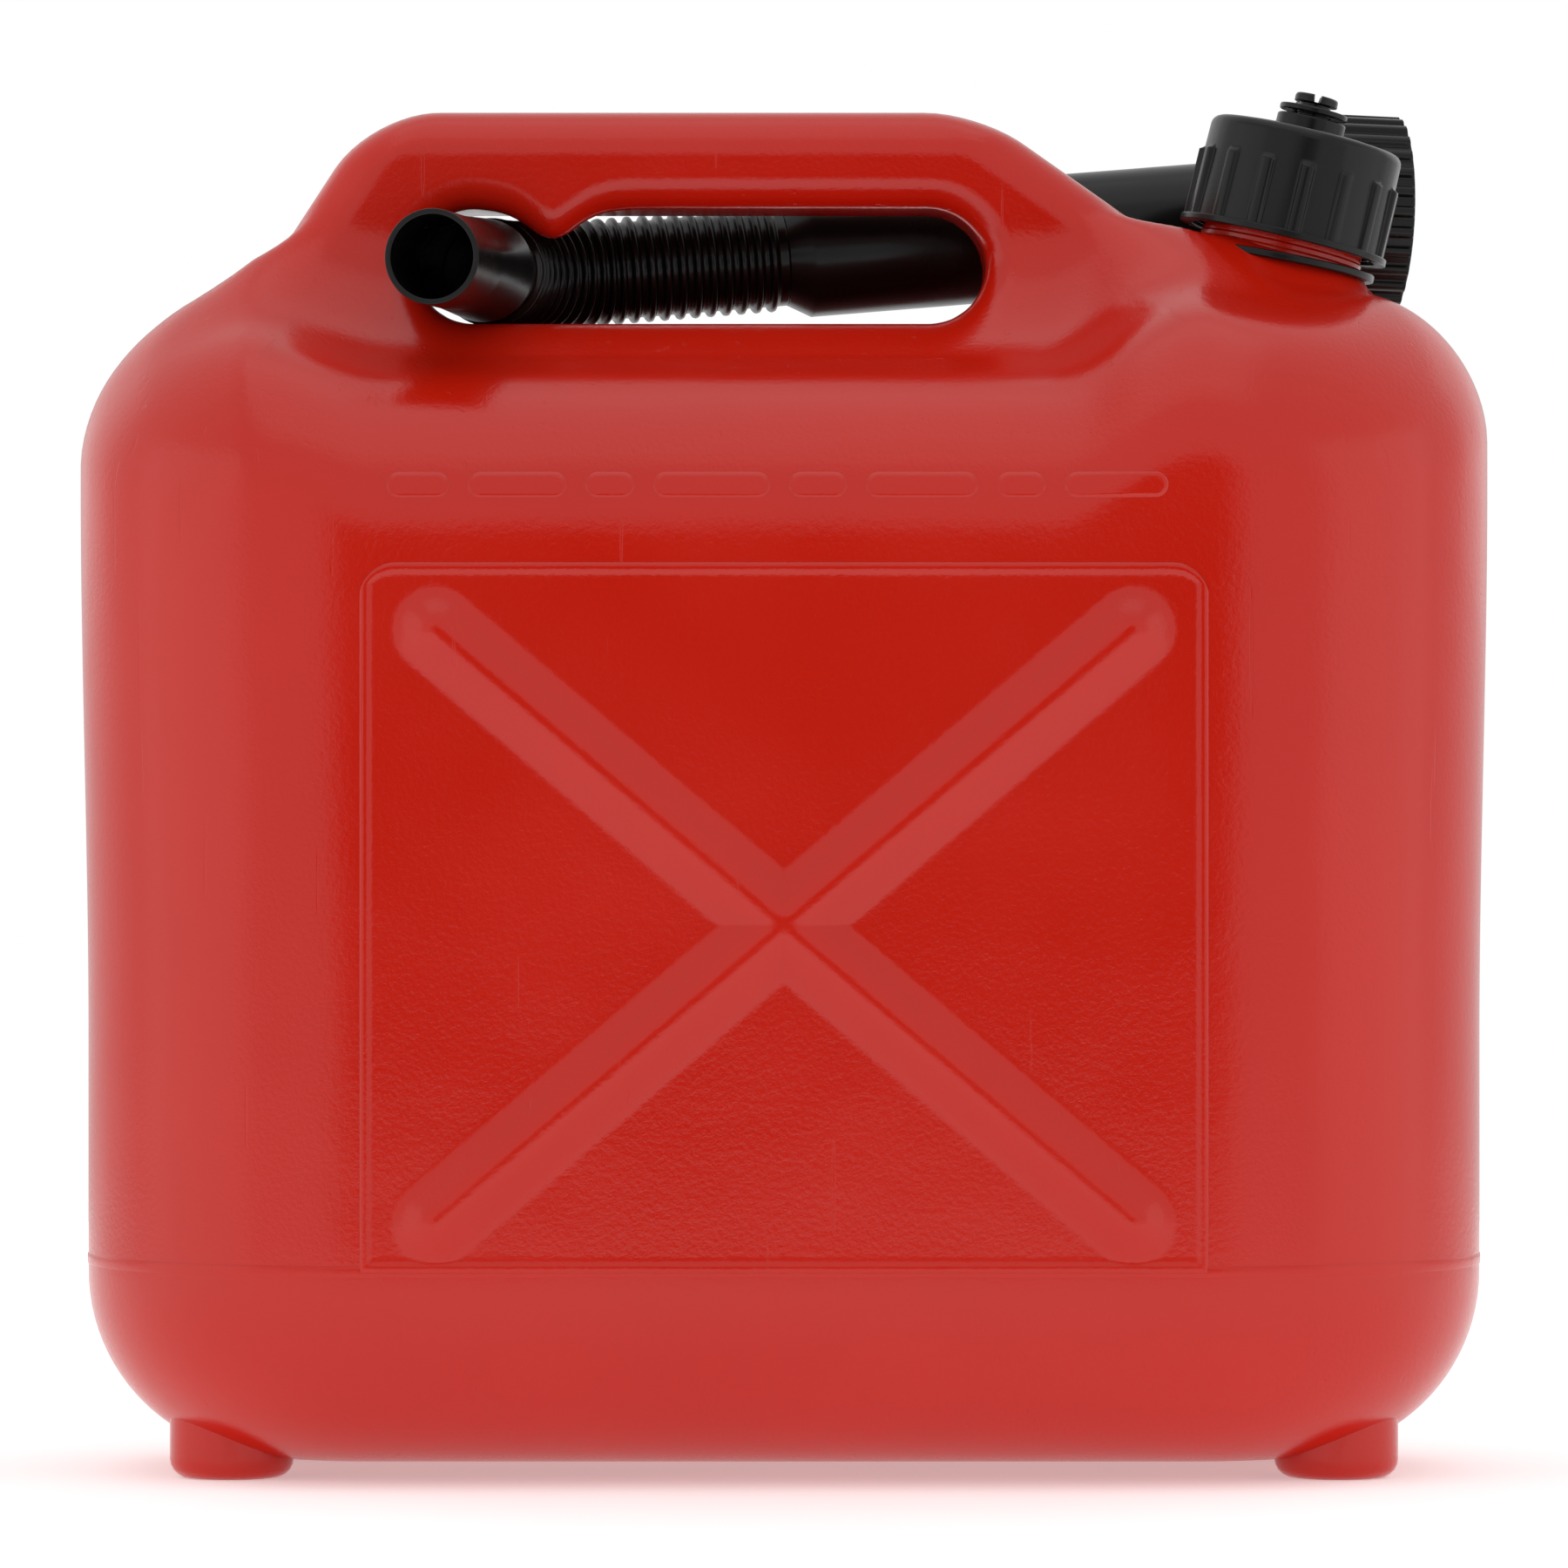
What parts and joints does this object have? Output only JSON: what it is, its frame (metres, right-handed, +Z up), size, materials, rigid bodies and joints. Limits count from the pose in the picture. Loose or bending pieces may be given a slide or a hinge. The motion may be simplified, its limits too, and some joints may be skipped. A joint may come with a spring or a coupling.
{
  "type": "plastic fuel can",
  "caption": "Upright moulded fuel can with a hand hole, cross-ribbed panels, a tilted screw-capped neck and a flexible pouring spout stored through the handle.",
  "frame": {"origin": "on the floor under the middle of the can", "axes": "+X from the handle's sloping end to the neck's end, +Y to the rear, away from the nozzle's open end, +Z up"},
  "size_m": [0.3208, 0.16, 0.3156],
  "materials": {
    "red_tank": "satin",
    "black_cap": "semi-gloss",
    "black_spout": "semi-gloss",
    "seal_rubber": "matt"
  },
  "bodies": {
    "can": {"can_body": "red_tank", "strap_ring": "black_cap", "strap_band": "black_cap"},
    "strap_end": {"strap_loop": "black_cap"},
    "inner_cap": {"cap_inner": "black_cap", "cap_seal": "seal_rubber"},
    "grip_cap": {"cap_outer": "black_cap"},
    "spout": {"spout_nozzle": "black_spout", "spout_bellows": "black_spout", "spout_tube": "black_spout", "spout_gasket": "seal_rubber"},
    "union_nut": {"spout_nut": "black_cap"}
  },
  "joints": [
    {"name": "cap_lift", "type": "slide", "parent": "can", "child": "strap_end", "axis": [0.2334, 0, 0.9724], "range_m": [0, 0.01], "deforming": ["strap_band"]},
    {"name": "cap_turn", "type": "hinge", "parent": "strap_end", "child": "inner_cap", "pos_m": [0.1144, 0, 0.2809], "axis": [0.2334, 0, 0.9724], "range_deg": [0, 720]},
    {"name": "cap_press", "type": "slide", "parent": "inner_cap", "child": "grip_cap", "axis": [-0.2334, 0, -0.9724], "range_m": [0, 0.001], "stiffness_N_per_m": 3000},
    {"name": "spout_withdraw", "type": "slide", "parent": "can", "child": "spout", "axis": [0.1914, 0.9815, -0.0023], "range_m": [0, 0.13]},
    {"name": "nut_turn", "type": "hinge", "parent": "spout", "child": "union_nut", "pos_m": [0.129, 0.052, 0.2907], "axis": [0.9887, 0.146, -0.0349], "continuous": true}
  ],
  "couplings": [
    {"joint": "cap_turn", "follows": "cap_lift", "rad_per_m": 1256.6}
  ]
}
